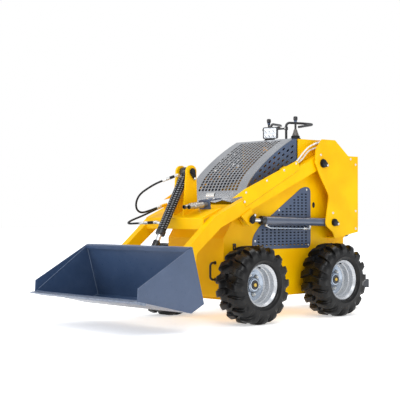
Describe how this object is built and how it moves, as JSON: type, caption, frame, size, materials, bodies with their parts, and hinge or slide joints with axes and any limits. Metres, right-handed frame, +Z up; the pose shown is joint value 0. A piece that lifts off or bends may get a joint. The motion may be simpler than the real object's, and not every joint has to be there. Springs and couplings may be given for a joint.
{
  "type": "stand-on mini skid steer loader",
  "caption": "Compact stand-on skid steer loader with lug tyres, curved perforated hood, twin lift arms, a centre tilt cylinder and a wide dirt bucket.",
  "frame": {"origin": "on the ground under the middle of the machine's length and width", "axes": "+X forward to the bucket, +Y to the machine's left, +Z up"},
  "size_m": [2.5862, 1.07, 1.428],
  "materials": {
    "yellow_paint": "gloss",
    "slate_paint": "semi-gloss",
    "hood_paint": "satin",
    "engine_grey": "satin",
    "black_paint": "satin",
    "black_plastic": "matte",
    "rim_silver": "satin",
    "tyre_rubber": "matte",
    "cylinder_paint": "semi-gloss",
    "rod_chrome": "polished",
    "bare_steel": "brushed",
    "hose_rubber": "satin",
    "hose_white": "satin"
  },
  "bodies": {
    "chassis": {"tie_rings": "black_paint", "towers": "yellow_paint", "hand_rails": "black_paint", "main_frame": "yellow_paint", "side_grilles": "slate_paint", "engine_block": "engine_grey", "hood_sides": "slate_paint", "tower_pins": "black_paint", "rear_panel": "yellow_paint", "control_deck": "slate_paint", "control_levers": "black_plastic", "work_light": "black_plastic", "platform_frame": "slate_paint", "platform_deck": "slate_paint", "drive_motors": "engine_grey"},
    "hood": {"hood_lid": "hood_paint"},
    "boom": {"boom_arm_left": "yellow_paint", "boom_arm_right": "yellow_paint", "boom_crossbeam": "yellow_paint", "lift_brackets": "yellow_paint", "hose_guards": "yellow_paint", "coupler_bracket": "slate_paint", "quick_couplers": "bare_steel", "tilt_hose_upper": "hose_rubber", "arm_hose_upper": "hose_white", "arm_hose_lower": "hose_white", "arm_hose_elbows": "bare_steel", "boom_pins": "black_paint"},
    "bucket": {"bucket_shell": "slate_paint", "bucket_sides": "slate_paint", "cutting_edge": "bare_steel", "hitch_plate": "slate_paint", "bucket_pins": "black_paint"},
    "tilt_barrel": {"tilt_barrel": "cylinder_paint", "tilt_hose_lower": "hose_rubber"},
    "tilt_rod": {"tilt_rod": "rod_chrome"},
    "wheel_front_left": {"rim_front_left": "rim_silver", "tyre_front_left": "tyre_rubber"},
    "wheel_front_right": {"rim_front_right": "rim_silver", "tyre_front_right": "tyre_rubber"},
    "wheel_rear_left": {"rim_rear_left": "rim_silver", "tyre_rear_left": "tyre_rubber"},
    "wheel_rear_right": {"rim_rear_right": "rim_silver", "tyre_rear_right": "tyre_rubber"},
    "lift_barrel_left": {"lift_barrel_left": "cylinder_paint"},
    "lift_rod_left": {"lift_rod_left": "rod_chrome"},
    "lift_barrel_right": {"lift_barrel_right": "cylinder_paint"},
    "lift_rod_right": {"lift_rod_right": "rod_chrome"}
  },
  "joints": [
    {"name": "wheel_front_left_spin", "type": "hinge", "parent": "chassis", "child": "wheel_front_left", "pos_m": [0.19689, 0.423, 0.2571], "axis": [0, 1, 0], "continuous": true},
    {"name": "wheel_front_right_spin", "type": "hinge", "parent": "chassis", "child": "wheel_front_right", "pos_m": [0.19689, -0.423, 0.2571], "axis": [0, 1, 0], "continuous": true},
    {"name": "wheel_rear_left_spin", "type": "hinge", "parent": "chassis", "child": "wheel_rear_left", "pos_m": [-0.62311, 0.423, 0.2571], "axis": [0, 1, 0], "continuous": true},
    {"name": "wheel_rear_right_spin", "type": "hinge", "parent": "chassis", "child": "wheel_rear_right", "pos_m": [-0.62311, -0.423, 0.2571], "axis": [0, 1, 0], "continuous": true},
    {"name": "boom_lift", "type": "hinge", "parent": "chassis", "child": "boom", "pos_m": [-0.58511, 0, 1.079], "axis": [0, -1, 0], "range_deg": [-4.5, 58]},
    {"name": "bucket_tilt", "type": "hinge", "parent": "boom", "child": "bucket", "pos_m": [0.68189, 0, 0.27], "axis": [0, -1, 0], "range_deg": [-105, 6]},
    {"name": "tilt_barrel_swing", "type": "hinge", "parent": "boom", "child": "tilt_barrel", "pos_m": [0.40089, 0, 1.002], "axis": [0, -1, 0], "range_deg": [-0.62, 2.53]},
    {"name": "tilt_rod_slide", "type": "slide", "parent": "tilt_barrel", "child": "tilt_rod", "axis": [0.4855, 0, -0.8742], "range_m": [-0.0198, 0.3304]},
    {"name": "hood_open", "type": "hinge", "parent": "chassis", "child": "hood", "pos_m": [-0.35111, 0, 1.241], "axis": [0, -1, 0], "range_deg": [0, 45]},
    {"name": "lift_barrel_left_swing", "type": "hinge", "parent": "chassis", "child": "lift_barrel_left", "pos_m": [-0.70511, 0.315, 0.659], "axis": [0, -1, 0], "range_deg": [-3.82, 43.29]},
    {"name": "lift_rod_left_slide", "type": "slide", "parent": "lift_barrel_left", "child": "lift_rod_left", "axis": [0.9997, 0, 0.0263], "range_m": [-0.0268, 0.3338]},
    {"name": "lift_barrel_right_swing", "type": "hinge", "parent": "chassis", "child": "lift_barrel_right", "pos_m": [-0.70511, -0.315, 0.659], "axis": [0, -1, 0], "range_deg": [-3.82, 43.29]},
    {"name": "lift_rod_right_slide", "type": "slide", "parent": "lift_barrel_right", "child": "lift_rod_right", "axis": [0.9997, 0, 0.0263], "range_m": [-0.0268, 0.3338]}
  ],
  "couplings": [
    {"joint": "tilt_barrel_swing", "follows": "bucket_tilt", "ratio": -0.01929},
    {"joint": "tilt_rod_slide", "follows": "bucket_tilt", "m_per_rad": -0.17972},
    {"joint": "lift_barrel_left_swing", "follows": "boom_lift", "ratio": 0.73776},
    {"joint": "lift_rod_left_slide", "follows": "boom_lift", "m_per_rad": 0.32875},
    {"joint": "lift_barrel_right_swing", "follows": "boom_lift", "ratio": 0.73776},
    {"joint": "lift_rod_right_slide", "follows": "boom_lift", "m_per_rad": 0.32875}
  ]
}
